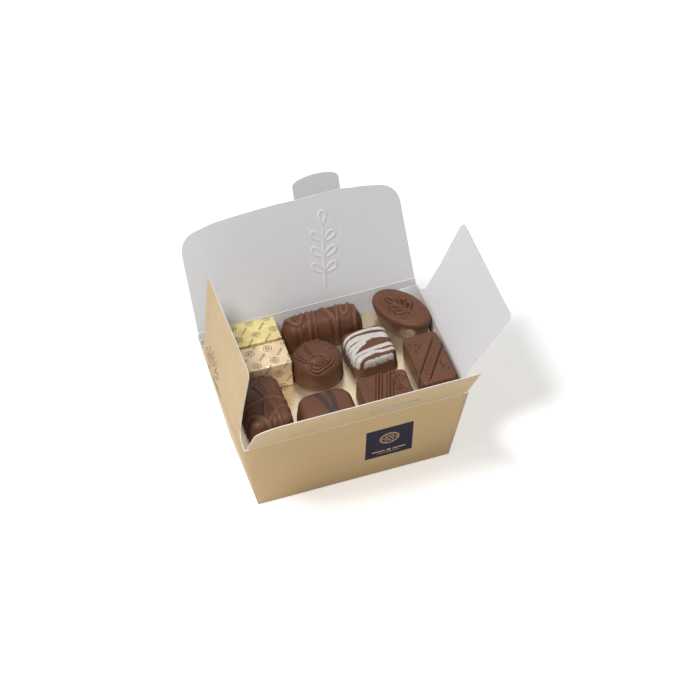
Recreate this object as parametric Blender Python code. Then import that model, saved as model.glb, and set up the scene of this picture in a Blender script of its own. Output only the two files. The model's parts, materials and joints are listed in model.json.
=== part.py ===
"""An open ballotin of chocolate pralines.

A folded carton tray with a lid, a locking tongue, a front flap and two side flaps, a gold card
pad wedged across it, and the ten pralines that stand on the pad.
Metres, +Z up. The origin is the middle of the base, X runs along the box and -Y is its front.
"""
import math

import bmesh
import bpy
from mathutils import Matrix, Vector

MM = 0.001
DEG = math.pi / 180

# ---- driving dimensions (millimetres and degrees) ----
BOARD = 0.45  # thickness of the carton
GAP = 0.3  # clear space between neighbouring pieces
CREASE = 0.3  # bare stretch on each side of a fold's axis
BASE_X, BASE_Y = 54.5, 27.3  # half length and half depth of the base
RIM_X, RIM_Y = 62.5, 45.2  # half length and half depth at the rim
RIM_Z = 62.0  # height of the folds of the front and side flaps
LID_Z = 65.4  # height of the lid's fold, above the flaps that tuck under it
TAB_WIDTH, TAB_DROP = 9.5, 0.5  # glue tabs inside the rear corners, and their drop below the rim

SIDE_LENGTH = 50.0  # side flap, fold to outer edge
SIDE_BASE, SIDE_TIP = 44.2, 40.0  # half width at the fold and at the outer edge
SIDE_NECK = ((38.6, 1.2), (35.2, 5.0), (36.4, 21.8))  # half width and distance from the fold
LEFT_LEAN, RIGHT_LEAN = -9.5, 33.7  # from upright, outwards
FRONT_LENGTH, FRONT_LEAN = 55.0, 36.0
FRONT_CUT_X, FRONT_CUT_V = 15.0, 16.0  # corner cut off the front flap
SLIT_X, SLIT_V, SLIT_LENGTH, SLIT_WIDTH = 18.0, 23.5, 27.5, 0.7
LID_SIDE, LID_BULGE, LID_CORNER, LID_LEAN = 57.5, 3.4, 12.0, 25.0
TONGUE_X, TONGUE_WIDTH, TONGUE_SIDE, TONGUE_RISE = 17.4, 26.4, 8.5, 4.5
TONGUE_BEND = 12.0  # forwards from the lid's plane
NOTCH = 3.4  # cut at both ends of the front flap's fold
TIP_RADIUS = 3.5  # rounded outer corners of the side flaps

PAD_TOP, PAD_THICK = 52.6, 0.8

# Where each piece stands on the pad and how it is turned: x, y, yaw.
PLACES = {
    "foil_block_rear": (-34.2, 30.9, -1.5),
    "foil_block_front": (-34.2, 11.9, -1.5),
    "praline_log": (3.8, 32.2, -1.0),
    "praline_dome": (-6.8, 6.6, 0.0),
    "praline_oval": (48.0, 26.7, -60.5),
    "praline_striped": (23.0, 6.9, 3.0),
    "praline_barred": (50.5, -15.4, 0.0),
    "praline_grooved": (21.4, -28.6, -2.0),
    "praline_two_stripe": (-11.9, -28.9, 0.0),
    "praline_netted": (-43.3, -17.4, 0.0),
}
# Length, depth and height of the pieces that are moulded blocks.
SIZES = {
    "foil_block_rear": (26.5, 19.0, 17.2),
    "foil_block_front": (26.5, 18.6, 17.4),
    "praline_log": (45.5, 18.0, 18.4),
    "praline_striped": (26.2, 27.2, 12.8),
    "praline_barred": (20.0, 38.6, 12.4),
    "praline_grooved": (29.4, 24.6, 12.0),
    "praline_two_stripe": (32.0, 25.0, 12.0),
    "praline_netted": (27.2, 39.6, 15.4),
}
REAR_BLOCK_TILT = -3.0  # the rear foil block leans back a little
DOME_RADIUS, DOME_HEIGHT, DOME_SHOULDER = 14.2, 17.0, 8.0
OVAL_LONG, OVAL_SHORT, OVAL_HEIGHT = 19.2, 11.2, 13.0
NETTED_CROWN = 1.8

FLARE_X = (RIM_X - BASE_X) / RIM_Z
FLARE_Y = (RIM_Y - BASE_Y) / RIM_Z

COLOURS = {
    "carton": ((0.52, 0.42, 0.24), 0.35, 0.6),
    "pad": ((0.83, 0.66, 0.36), 0.2, 0.9),
    "milk": ((0.14, 0.06, 0.035), 0.45, 0.0),
    "foil_yellow": ((0.85, 0.68, 0.25), 0.35, 0.5),
    "foil_peach": ((0.87, 0.62, 0.4), 0.35, 0.5),
}


# ---- helpers ----
def clear_scene():
    for obj in list(bpy.data.objects):
        bpy.data.objects.remove(obj, do_unlink=True)


def material(name, finish):
    mat = bpy.data.materials.new(name)
    mat.use_nodes = True
    shader = mat.node_tree.nodes["Principled BSDF"]
    colour, roughness, metallic = COLOURS[finish]
    shader.inputs["Base Color"].default_value = (*colour, 1)
    shader.inputs["Roughness"].default_value = roughness
    shader.inputs["Metallic"].default_value = metallic
    return mat


def add_object(name, bm, finish, smooth=False):
    """A node made of a bmesh in millimetres."""
    bmesh.ops.recalc_face_normals(bm, faces=bm.faces)
    bmesh.ops.scale(bm, vec=(MM, MM, MM), verts=bm.verts)
    mesh = bpy.data.meshes.new(name)
    bm.to_mesh(mesh)
    bm.free()
    if smooth:
        mesh.shade_smooth()
        mesh.set_sharp_from_angle(angle=40 * DEG)
    obj = bpy.data.objects.new(name, mesh)
    bpy.context.collection.objects.link(obj)
    mesh.materials.append(material(name, finish))
    return obj


def place(obj, location, turn=(0, 0, 0)):
    obj.location = Vector(location) * MM
    obj.rotation_euler = [a * DEG for a in turn]
    return obj


def boolean(obj, other, operation):
    mod = obj.modifiers.new(other.name, "BOOLEAN")
    mod.operation = operation
    mod.object = other
    other.hide_render = True
    other.display_type = "WIRE"


def arc(centre, radius, start, end, steps):
    """Points of a round corner, angles in degrees."""
    points = []
    for i in range(steps + 1):
        a = (start + (end - start) * i / steps) * DEG
        points.append((centre[0] + radius * math.cos(a), centre[1] + radius * math.sin(a)))
    return points


def board(outline, thick=BOARD):
    """A flat card in the local XZ plane, centred on it through its thickness."""
    bm = bmesh.new()
    verts = [bm.verts.new((x, -thick / 2, z)) for x, z in outline]
    face = bm.faces.new(verts)
    out = bmesh.ops.extrude_face_region(bm, geom=[face])
    moved = [v for v in out["geom"] if isinstance(v, bmesh.types.BMVert)]
    bmesh.ops.translate(bm, vec=(0, thick, 0), verts=moved)
    return bm


# ---- the tray ----
def wall_point(sx, sy, z):
    """A point on the tray's middle surface at one of its corners."""
    return (sx * (BASE_X + FLARE_X * z), sy * (BASE_Y + FLARE_Y * z), z)


def tray():
    """Base and four flared walls of one board; the rear wall runs on up to the lid's fold."""
    bm = bmesh.new()
    low = BOARD / 2
    top = RIM_Z - CREASE
    corners = ((-1, -1), (1, -1), (1, 1), (-1, 1))
    bottom = [bm.verts.new(wall_point(sx, sy, low)) for sx, sy in corners]
    rim = [bm.verts.new(wall_point(sx, sy, top)) for sx, sy in corners]
    bm.faces.new(bottom)
    for i in range(4):
        j = (i + 1) % 4
        bm.faces.new((bottom[i], bottom[j], rim[j], rim[i]))
    lid_top = LID_Z - CREASE
    raised = []
    for sx in (1, -1):
        x, y, z = wall_point(sx, 1, lid_top)
        raised.append(bm.verts.new((sx * RIM_X, y, z)))
    bm.faces.new((rim[2], rim[3], raised[1], raised[0]))
    obj = add_object("tray", bm, "carton")
    solid = obj.modifiers.new("Board", "SOLIDIFY")
    solid.thickness = BOARD * MM
    solid.offset = 0
    solid.use_even_offset = True
    for side in (-1, 1):
        boolean(obj, glue_tab(side), "UNION")
    return obj


def glue_tab(side):
    """The side wall's glue tab, folded flat against the inside of the rear wall."""
    sunk = 0.1  # how far it reaches into the walls it is glued to
    top, low = RIM_Z - TAB_DROP, 4.0
    wide, narrow = BASE_X + FLARE_X * top - sunk, BASE_X + FLARE_X * low - sunk
    outline = [(side * narrow, low), (side * wide, top),
               (side * (wide - TAB_WIDTH), top), (side * (wide - TAB_WIDTH), low)]
    bm = board(outline)
    for v in bm.verts:
        v.co.y += BASE_Y + FLARE_Y * v.co.z - BOARD + sunk
    tab = add_object("tab_cutter_%s" % ("right" if side > 0 else "left"), bm, "carton")
    return tab


# ---- the flaps, each drawn flat with its fold along X at Z = 0 ----
def side_flap(name, side, lean):
    """A side flap; its local X runs along the fold."""
    tip = (SIDE_TIP - TIP_RADIUS, SIDE_LENGTH - TIP_RADIUS)
    half = [(SIDE_BASE, CREASE), *SIDE_NECK, *arc(tip, TIP_RADIUS, -5, 90, 4)]
    outline = half + [(-across, along) for across, along in reversed(half)]
    obj = add_object(name, board(outline), "carton")
    return place(obj, (side * RIM_X, 0, RIM_Z), (side * lean, 0, 90))


def front_flap():
    """The front flap, with one corner cut off and the slit that the tongue goes into."""
    left = -(RIM_X - 1.0)
    right = RIM_X - 1.0
    outline = [(left + 1.5, CREASE), (right - NOTCH + 1, CREASE), (right, CREASE + NOTCH)]
    outline += arc((right - 3.2, FRONT_LENGTH - 2.0), 2.0, 0, 90, 3)
    outline += arc((left + FRONT_CUT_X, FRONT_LENGTH - FRONT_CUT_V), FRONT_CUT_X, 90, 170, 6)
    outline += [(left, CREASE + NOTCH)]
    obj = add_object("front_flap", board(outline), "carton")
    place(obj, (0, -RIM_Y, RIM_Z), (FRONT_LEAN, 0, 0))
    slit = board(slit_outline(), thick=4 * BOARD)
    cutter = add_object("slit_cutter", slit, "carton")
    place(cutter, (0, -RIM_Y, RIM_Z), (FRONT_LEAN, 0, 0))
    boolean(obj, cutter, "DIFFERENCE")
    return obj


def slit_outline():
    """A thin curved cut, bowed away from the fold."""
    steps = 6
    sag = 1.2
    lower = []
    for i in range(steps + 1):
        t = 2 * i / steps - 1
        lower.append((SLIT_X + t * SLIT_LENGTH / 2, SLIT_V - sag * t * t))
    upper = [(x, v + SLIT_WIDTH) for x, v in reversed(lower)]
    return lower + upper


def lid_edge(x):
    """How far the lid's outer edge is from its fold, a shallow curve."""
    return LID_SIDE + LID_BULGE * (1 - (x / RIM_X) ** 2)


def lid():
    half = RIM_X - 0.2
    tongue_left = TONGUE_X - TONGUE_WIDTH / 2
    tongue_right = TONGUE_X + TONGUE_WIDTH / 2
    corner = LID_SIDE - LID_CORNER
    seat = lid_edge(TONGUE_X)
    outline = [(-half, CREASE), (half, CREASE)]
    outline += arc((half - LID_CORNER, corner), LID_CORNER, 0, 82, 6)
    outline += [(x, lid_edge(x)) for x in (42.0, 36.0)]
    outline += [(tongue_right + 0.4, seat + 0.1), (tongue_right, seat - CREASE)]
    outline += [(tongue_left, seat - CREASE), (tongue_left - 0.4, seat + 0.1)]
    outline += [(x, lid_edge(x)) for x in (-6.0, -18.0, -30.0, -42.0)]
    outline += arc((-half + LID_CORNER, corner), LID_CORNER, 98, 180, 6)
    obj = add_object("lid", board(outline), "carton")
    y = BASE_Y + FLARE_Y * LID_Z
    return place(obj, (0, y, LID_Z), (-LID_LEAN, 0, 0))


def tongue():
    """The locking tongue, folded a little forwards from the lid's outer edge."""
    half = TONGUE_WIDTH / 2
    outline = [(-half, CREASE), (half, CREASE), (half, TONGUE_SIDE)]
    for i in range(1, 8):
        t = math.cos(math.pi * i / 8)
        outline.append((half * t, TONGUE_SIDE + TONGUE_RISE * math.sqrt(1 - t * t)))
    outline += [(-half, TONGUE_SIDE)]
    obj = add_object("tongue", board(outline), "carton")
    lean = LID_LEAN * DEG
    seat = lid_edge(TONGUE_X)
    y = BASE_Y + FLARE_Y * LID_Z + seat * math.sin(lean)
    z = LID_Z + seat * math.cos(lean)
    return place(obj, (TONGUE_X, y, z), (-(LID_LEAN - TONGUE_BEND), 0, 0))


# ---- what is in the box ----
def pad():
    """A card wedged between the flared walls."""
    z = PAD_TOP - PAD_THICK
    bm = bmesh.new()
    bmesh.ops.create_cube(bm, size=1)
    clear = BOARD / 2 + GAP + 0.1
    for v in bm.verts:
        level = z + PAD_THICK * (v.co.z + 0.5)
        v.co.x = math.copysign(BASE_X + FLARE_X * z - clear, v.co.x)
        v.co.y = math.copysign(BASE_Y + FLARE_Y * z - clear - BOARD, v.co.y)
        v.co.z = level
    return add_object("pad", bm, "pad")


def loaf(size, corner, edge, draft, segments=4, edge_segments=3):
    """A moulded block: an upright box with round corners, tapered up and with a round top edge."""
    bm = bmesh.new()
    bmesh.ops.create_cube(bm, size=1)
    bmesh.ops.scale(bm, vec=size, verts=bm.verts)
    bmesh.ops.translate(bm, vec=(0, 0, size[2] / 2), verts=bm.verts)
    upright = [e for e in bm.edges if abs(e.verts[0].co.z - e.verts[1].co.z) > 0.5 * size[2]]
    bmesh.ops.bevel(bm, geom=upright, offset=corner, affect="EDGES", segments=segments,
                    profile=0.5, material=-1)
    for v in bm.verts:
        if v.co.z > size[2] / 2:
            v.co.x *= 1 - 2 * draft / size[0]
            v.co.y *= 1 - 2 * draft / size[1]
    top = [e for e in bm.edges if min(v.co.z for v in e.verts) > 0.99 * size[2]]
    bmesh.ops.bevel(bm, geom=top, offset=edge, affect="EDGES", segments=edge_segments,
                    profile=0.5, material=-1)
    return bm


def split_top(bm, height, cuts):
    """Fans out the flat top so that it can carry relief."""
    top = [f for f in bm.faces if f.normal.z > 0.95 and f.calc_center_median().z > height - 0.2]
    bmesh.ops.triangulate(bm, faces=top)
    edges = list({e for f in bm.faces if f.normal.z > 0.95 for e in f.edges})
    bmesh.ops.subdivide_edges(bm, edges=edges, cuts=cuts)


def standing(name, bm, finish="milk", tilt=0.0):
    """Stands a piece on the pad; a tilted one is lifted so that its low edge clears the pad."""
    x, y, yaw = PLACES[name]
    obj = add_object(name, bm, finish, smooth=True)
    lift = abs(math.sin(tilt * DEG)) * SIZES[name][1] / 2 if tilt else 0.0
    return place(obj, (x, y, PAD_TOP + GAP + lift), (tilt, 0, yaw))


def foil_blocks():
    """Two foil-wrapped blocks side by side, with crisp folded edges."""
    for name, finish, tilt in (("foil_block_rear", "foil_yellow", REAR_BLOCK_TILT),
                               ("foil_block_front", "foil_peach", 0.0)):
        bm = loaf(SIZES[name], 0.7, 0.6, 0.0, segments=2, edge_segments=2)
        standing(name, bm, finish, tilt)


def ridged_log():
    """A round-topped log with ridges that wind over it and narrower ends."""
    length, width, height = SIZES["praline_log"]
    rings, around = 17, 14
    ridges, ridge_height = 6.5, 0.035  # number along the log, and height over radius
    spring = 0.42 * height  # where the arch starts
    bm = bmesh.new()
    loops = []
    for i in range(rings):
        t = i / (rings - 1)
        x = (t - 0.5) * length
        end = math.sqrt(max(0.0, 1 - abs(2 * t - 1) ** 7)) * 0.35 + 0.65
        ring = []
        for k in range(around):
            a = (-20 + 220 * k / (around - 1)) * DEG
            wave = 1 + ridge_height * math.cos(ridges * math.tau * t + 1.1 * math.cos(a))
            y = width / 2 * math.cos(a) * end * wave
            z = spring + (height - spring) * max(0.0, math.sin(a)) * end * wave
            if k in (0, around - 1):
                z = 0.0
            ring.append(bm.verts.new((x, y, z)))
        loops.append(ring)
    for a, b in zip(loops, loops[1:]):
        for k in range(around):
            m = (k + 1) % around
            bm.faces.new((a[k], a[m], b[m], b[k]))
    bm.faces.new(loops[0])
    bm.faces.new(loops[-1])
    standing("praline_log", bm)


def turned(profile, steps):
    """A round solid from a half profile of (radius, height) points, base to crown."""
    bm = bmesh.new()
    verts = [bm.verts.new((r, 0, z)) for r, z in profile]
    edges = [bm.edges.new(pair) for pair in zip(verts, verts[1:])]
    bmesh.ops.spin(bm, geom=verts + edges, cent=(0, 0, 0), axis=(0, 0, 1),
                   angle=math.tau, steps=steps, use_merge=True)
    bmesh.ops.remove_doubles(bm, verts=bm.verts, dist=0.001)
    return bm


def crowned_profile(radius, height, shoulder, rows):
    """Flat base, upright foot and a rounded crown."""
    points = [(0.0, 0.0), (radius - 0.5, 0.0), (radius, 0.5), (radius - 0.2, shoulder)]
    for i in range(1, rows):
        a = 90 * i / rows * DEG
        points.append(((radius - 0.2) * math.cos(a) ** 0.8,
                       shoulder + (height - shoulder) * math.sin(a)))
    points.append((0.0, height))
    return points


def dome():
    bm = turned(crowned_profile(DOME_RADIUS, DOME_HEIGHT, DOME_SHOULDER, 6), 28)
    standing("praline_dome", bm)


def oval():
    """An oval medallion whose side widens upwards as the carton's walls do."""
    profile = [(0.0, 0.0), (0.82, 0.0), (0.85, 0.5), (1.0, OVAL_HEIGHT - 3.2),
               (0.985, OVAL_HEIGHT - 1.2), (0.93, OVAL_HEIGHT - 0.3), (0.86, OVAL_HEIGHT),
               (0.0, OVAL_HEIGHT + 0.5)]
    bm = turned(profile, 32)
    bmesh.ops.scale(bm, vec=(OVAL_LONG, OVAL_SHORT, 1), verts=bm.verts)
    standing("praline_oval", bm)


def striped_square():
    standing("praline_striped", loaf(SIZES["praline_striped"], 5.0, 3.0, 0.8))


def groove(bm, height, lines, depth):
    """Presses straight grooves into the flat top: (point, direction, half width)."""
    for v in bm.verts:
        if v.co.z < height - 0.2:
            continue
        for (px, py), (dx, dy), half in lines:
            off = abs((v.co.x - px) * dy - (v.co.y - py) * dx) / math.hypot(dx, dy)
            if off < half:
                v.co.z -= depth * (1 - off / half)


def barred_long():
    """A long bar with a slanting raised band across its top."""
    size = SIZES["praline_barred"]
    bm = loaf(size, 2.4, 1.4, 0.2)
    split_top(bm, size[2], 3)
    groove(bm, size[2], [((-4, 0), (0.5, 1), 1.2), ((4, 0), (0.3, -1), 1.2)], 0.5)
    standing("praline_barred", bm)


def grooved_square():
    size = SIZES["praline_grooved"]
    bm = loaf(size, 3.0, 1.6, 0.8)
    split_top(bm, size[2], 3)
    lines = [((x, 0), (0, 1), 0.9) for x in (-7.0, -5.0, 0.5, 2.5)]
    groove(bm, size[2], lines, 0.5)
    standing("praline_grooved", bm)


def two_stripe():
    standing("praline_two_stripe", loaf(SIZES["praline_two_stripe"], 8.0, 3.6, 1.0))


def netted_long():
    """A large bar with a crowned top."""
    length, depth, height = SIZES["praline_netted"]
    bm = loaf((length, depth, height), 5.0, 3.6, 1.4)
    split_top(bm, height, 3)
    for v in bm.verts:
        if v.co.z > height - 0.3:
            across, along = math.pi * v.co.x / length, math.pi * v.co.y / depth
            v.co.z += NETTED_CROWN * math.cos(across) * math.cos(along)
    standing("praline_netted", bm)


def main():
    clear_scene()
    tray()
    side_flap("left_flap", -1, LEFT_LEAN)
    side_flap("right_flap", 1, RIGHT_LEAN)
    front_flap()
    lid()
    tongue()
    pad()
    foil_blocks()
    ridged_log()
    dome()
    oval()
    striped_square()
    barred_long()
    grooved_square()
    two_stripe()
    netted_long()


main()
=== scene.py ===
"""Looks of an open carton of chocolate pralines: folded card, foil and moulded chocolate.

Pieces are modelled in millimetres and turned to metres when they are finished. Every place
comes from the frame: a piece is seated on its node's box, and a fold on its joint.
"""
import json
import math

import bmesh
import bpy
import numpy as np
from mathutils import Matrix, Vector, noise


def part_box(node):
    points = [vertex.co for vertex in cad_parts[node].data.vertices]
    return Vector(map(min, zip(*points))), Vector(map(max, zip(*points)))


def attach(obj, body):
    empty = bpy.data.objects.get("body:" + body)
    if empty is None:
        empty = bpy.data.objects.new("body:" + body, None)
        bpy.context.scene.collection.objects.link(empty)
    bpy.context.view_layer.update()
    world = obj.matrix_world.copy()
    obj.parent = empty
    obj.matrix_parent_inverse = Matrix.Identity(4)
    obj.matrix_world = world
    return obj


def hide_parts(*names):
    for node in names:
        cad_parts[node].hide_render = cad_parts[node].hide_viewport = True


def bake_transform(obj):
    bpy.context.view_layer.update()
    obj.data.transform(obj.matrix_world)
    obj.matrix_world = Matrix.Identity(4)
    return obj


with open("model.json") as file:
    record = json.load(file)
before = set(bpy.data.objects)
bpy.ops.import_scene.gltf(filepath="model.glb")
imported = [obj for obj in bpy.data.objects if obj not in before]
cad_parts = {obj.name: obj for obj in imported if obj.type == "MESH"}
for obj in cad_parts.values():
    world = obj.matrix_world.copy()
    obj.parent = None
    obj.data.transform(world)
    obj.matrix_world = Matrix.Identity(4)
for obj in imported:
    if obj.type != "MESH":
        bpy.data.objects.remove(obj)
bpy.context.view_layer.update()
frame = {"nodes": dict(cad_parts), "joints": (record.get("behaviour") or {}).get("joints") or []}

bl_info = {
    "name": "Open carton of pralines",
    "version": (1, 0, 0),
    "blender": (4, 5, 0),
    "location": "3D View > Sidebar > Pralines",
    "description": "Card, foil and chocolate of an open carton of pralines",
    "category": "Object",
}

MM = 0.001
DEG = math.pi / 180
JOINTS = {joint["name"]: joint for joint in frame["joints"]}


def srgb(red, green, blue):
    """A colour written from 0 to 255 as linear light."""
    levels = []
    for level in (red, green, blue):
        share = level / 255
        levels.append(share / 12.92 if share <= 0.04045 else ((share + 0.055) / 1.055) ** 2.4)
    return tuple(levels)


def colour(name, description, tone):
    return bpy.props.FloatVectorProperty(name=name, description=description, default=srgb(*tone),
                                         subtype="COLOR", size=3, min=0.0, max=1.0)


def size(name, description, default, low=0.0):
    return bpy.props.FloatProperty(name=name, description=description + ", mm",
                                   default=default, min=low)


# ---- settings ----
class CartonSettings(bpy.types.PropertyGroup):
    """Card, print and folds."""
    gold: colour("Outside", "Satin gold of the outside", (190, 163, 116))
    pale: colour("Inside", "Coated board of the inside", (222, 221, 222))
    # The cut white also stands as a painted highlight along the inside of each fold.
    cut: colour("Cut edge", "White core where the board is cut or scored", (246, 244, 242))
    ink: colour("Line art", "Thin lines printed on the left side", (112, 88, 84))
    label: colour("Label", "Square printed on the front", (20, 20, 44))
    emblem: colour("Emblem", "Gold lines on the label", (214, 184, 140))
    board: size("Board", "Thickness of the card", 0.45)
    crease: size("Crease", "Half width of a fold", 0.3)
    bead: size("Bead", "Height of the scored ridge inside a fold", 0.16)
    bulge: size("Bulge", "How far the front wall bows out", 0.5)
    emboss: size("Embossing", "Height of the sprig pressed into the lid", 0.42)
    print_lift: size("Print", "Thickness of printed ink", 0.03)
    lip: size("Slit lip", "How far the slit's cut edge stands up", 0.5)
    label_x: size("Label place", "Label's middle, right of the front wall's middle", 19.0)
    label_width: size("Label width", "Width of the label", 26.8)
    label_low: size("Label foot", "Label's lower edge above the base, up the wall", 18.7)
    label_height: size("Label height", "Height of the label", 30.3)


class ChocolateSettings(bpy.types.PropertyGroup):
    """Moulded and enrobed chocolate."""
    milk: colour("Milk chocolate", "Body of every praline", (108, 70, 50))
    # Ridge colour: a painted highlight laid on the ridges and rims of the chocolate.
    wear_and_highlight: colour("Ridges", "Paler chocolate on ridges and rims", (126, 86, 66))
    drizzle: colour("Drizzle", "Pale stripes on the square praline", (222, 217, 212))
    dark: colour("Dark stripes", "Dark chocolate on the rounded praline", (66, 52, 50))
    spacing: size("Spacing", "Distance between points of the fine surface", 0.24, 0.1)
    uneven: size("Unevenness", "Soft waves of the surface", 0.12)
    foot: size("Foot", "Rounding at the foot", 0.6)
    relief: bpy.props.FloatProperty(name="Relief", default=1.35,
                                    description="Factor on the height of every moulded line")


class FoilSettings(bpy.types.PropertyGroup):
    """Printed foil of the two blocks."""
    yellow: colour("Yellow foil", "Wrap of the rear block", (255, 231, 160))
    peach: colour("Peach foil", "Wrap of the front block", (252, 222, 180))
    ink: colour("Print", "Rings and dashes on the foil", (92, 80, 70))
    crinkle: size("Crinkle", "Depth of the creases", 0.16)
    pitch: size("Print pitch", "Distance between printed rings", 7.2, 1.0)
    pad: colour("Pad", "Gold card under the pralines", (240, 222, 188))


class StageSettings(bpy.types.PropertyGroup):
    """Camera, lamps and floor."""
    azimuth: bpy.props.FloatProperty(name="Azimuth", description="Camera's turn round the box",
                                     default=-13.81 * DEG, subtype="ANGLE")
    elevation: bpy.props.FloatProperty(name="Elevation", description="Camera's height angle",
                                       default=44.0 * DEG, subtype="ANGLE")
    roll: bpy.props.FloatProperty(name="Roll", description="Camera's turn about its own axis",
                                  default=-4.85 * DEG, subtype="ANGLE")
    distance: bpy.props.FloatProperty(name="Distance", description="Camera to its aim",
                                      default=1.9495, unit="LENGTH")
    aim: bpy.props.FloatVectorProperty(name="Aim", description="Point the camera looks at",
                                       default=(0.0153, 0.0394, 0.04), subtype="XYZ")
    lens: bpy.props.FloatProperty(name="Lens", description="Focal length, mm", default=186.3)
    floor: colour("Floor", "Plain pale floor", (252, 252, 252))
    floor_glow: bpy.props.FloatProperty(name="Floor glow", default=0.5,
                                        description="White added where the floor is seen")
    key_power: bpy.props.FloatProperty(name="Key lamp", description="Power of the large lamp",
                                       default=19.0, unit="POWER")
    fill_power: bpy.props.FloatProperty(name="Fill lamp", description="Power of the left lamp",
                                        default=4.0, unit="POWER")
    sky: bpy.props.FloatProperty(name="Sky", description="Strength of the even light",
                                 default=0.24)


def settings(name):
    return getattr(bpy.context.scene, name)


# ---- material helpers ----
def node(mat, kind, inputs=(), **options):
    """A shader node; an input given as a socket is linked, and any other value is set."""
    made = mat.node_tree.nodes.new("ShaderNode" + kind)
    for key, value in options.items():
        setattr(made, key, value)
    connect(mat, made, dict(inputs))
    return made


def connect(mat, shader, inputs):
    for key, value in inputs.items():
        if isinstance(value, bpy.types.NodeSocket):
            mat.node_tree.links.new(value, shader.inputs[key])
        else:
            shader.inputs[key].default_value = value


def sum_of(mat, operation, first, second=0.0, third=0.0):
    """The result of a Math node."""
    return node(mat, "Math", {0: first, 1: second, 2: third}, operation=operation).outputs[0]


def blend_of(mat, share, first, second):
    """A colour between two others."""
    made = node(mat, "Mix", {0: share, 6: first, 7: second}, data_type="RGBA")
    return made.outputs[2]


def spread(mat, value, low, high, to_low=0.0, to_high=1.0):
    """A value stretched from one range to another, and clamped."""
    inputs = {"Value": value, "From Min": low, "From Max": high, "To Min": to_low,
              "To Max": to_high}
    return node(mat, "MapRange", inputs).outputs["Result"]


def cloud(mat, place, scale, detail=2.0):
    return node(mat, "TexNoise", {"Vector": place, "Scale": scale, "Detail": detail}).outputs[0]


def bump(mat, height, strength, depth, under=None):
    inputs = {"Height": height, "Strength": strength, "Distance": depth}
    if under is not None:
        inputs["Normal"] = under
    return node(mat, "Bump", inputs).outputs[0]


def seen_or_mirrored(mat):
    """1 for what the camera sees, straight or in a mirror or glass, and 0 for light."""
    path = node(mat, "LightPath").outputs
    seen = sum_of(mat, "MAXIMUM", path["Is Camera Ray"], path["Is Glossy Ray"])
    return sum_of(mat, "MAXIMUM", seen, path["Is Transmission Ray"])


def shade(tone, factor):
    return tuple(min(1.0, level * factor) for level in tone) + (1.0,)


def start_material(name):
    mat = bpy.data.materials.new(name)
    mat.use_nodes = True
    place = node(mat, "TexCoord").outputs["Object"]
    return mat, mat.node_tree.nodes["Principled BSDF"], place


# ---- materials ----
def gold_card():
    """Satin gold print on card: a fine speckle, soft clouds and a low sheen."""
    mat, shader, place = start_material("satin_gold")
    tone = settings("carton").gold
    patches = spread(mat, cloud(mat, place, 14.0), 0.35, 0.65)
    base = blend_of(mat, patches, shade(tone, 0.94), shade(tone, 1.05))
    speckle = spread(mat, cloud(mat, place, 1600.0, 1.0), 0.3, 0.7)
    base = blend_of(mat, speckle, base, blend_of(mat, 0.5, base, shade(tone, 1.18)))
    rough = spread(mat, cloud(mat, place, 60.0), 0.3, 0.7, 0.4, 0.5)
    grain = bump(mat, cloud(mat, place, 2200.0, 2.0), 0.12, 0.00005)
    waves = bump(mat, cloud(mat, place, 22.0, 1.0), 0.25, 0.0006, grain)
    connect(mat, shader, {"Base Color": base, "Roughness": rough, "Metallic": 0.25,
                          "Specular IOR Level": 0.3, "Normal": waves})
    return mat


def pale_card():
    """Coated pale board of the inside."""
    mat, shader, place = start_material("pale_board")
    tone = settings("carton").pale
    fibres = spread(mat, cloud(mat, place, 900.0, 3.0), 0.3, 0.7)
    base = blend_of(mat, fibres, shade(tone, 0.965), shade(tone, 1.02))
    rough = spread(mat, cloud(mat, place, 50.0), 0.3, 0.7, 0.42, 0.55)
    grain = bump(mat, cloud(mat, place, 1800.0, 2.0), 0.12, 0.00004)
    waves = bump(mat, cloud(mat, place, 18.0, 1.0), 0.2, 0.0006, grain)
    connect(mat, shader, {"Base Color": base, "Roughness": rough, "Normal": waves})
    return mat


def cut_card_and_crease_highlight():
    """Fibrous white core at cuts; along the inside of a scored fold the same white is a painted
    highlight of the crease.
    """
    mat, shader, place = start_material("cut_board_and_crease_highlight")
    tone = settings("carton").cut
    fibres = spread(mat, cloud(mat, place, 2500.0, 3.0), 0.3, 0.7)
    base = blend_of(mat, fibres, shade(tone, 0.93), shade(tone, 1.0))
    grain = bump(mat, cloud(mat, place, 3000.0, 2.0), 0.3, 0.00005)
    connect(mat, shader, {"Base Color": base, "Roughness": 0.8, "Normal": grain})
    return mat


def printed(name, tone, metallic=0.0, roughness=0.5):
    """Ink laid on card, a little uneven."""
    mat, shader, place = start_material(name)
    patches = spread(mat, cloud(mat, place, 700.0, 2.0), 0.3, 0.7)
    base = blend_of(mat, patches, shade(tone, 0.9), shade(tone, 1.1))
    grain = bump(mat, cloud(mat, place, 1800.0, 2.0), 0.1, 0.00004)
    connect(mat, shader, {"Base Color": base, "Roughness": roughness, "Metallic": metallic,
                          "Specular IOR Level": 0.1, "Normal": grain})
    return mat


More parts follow.
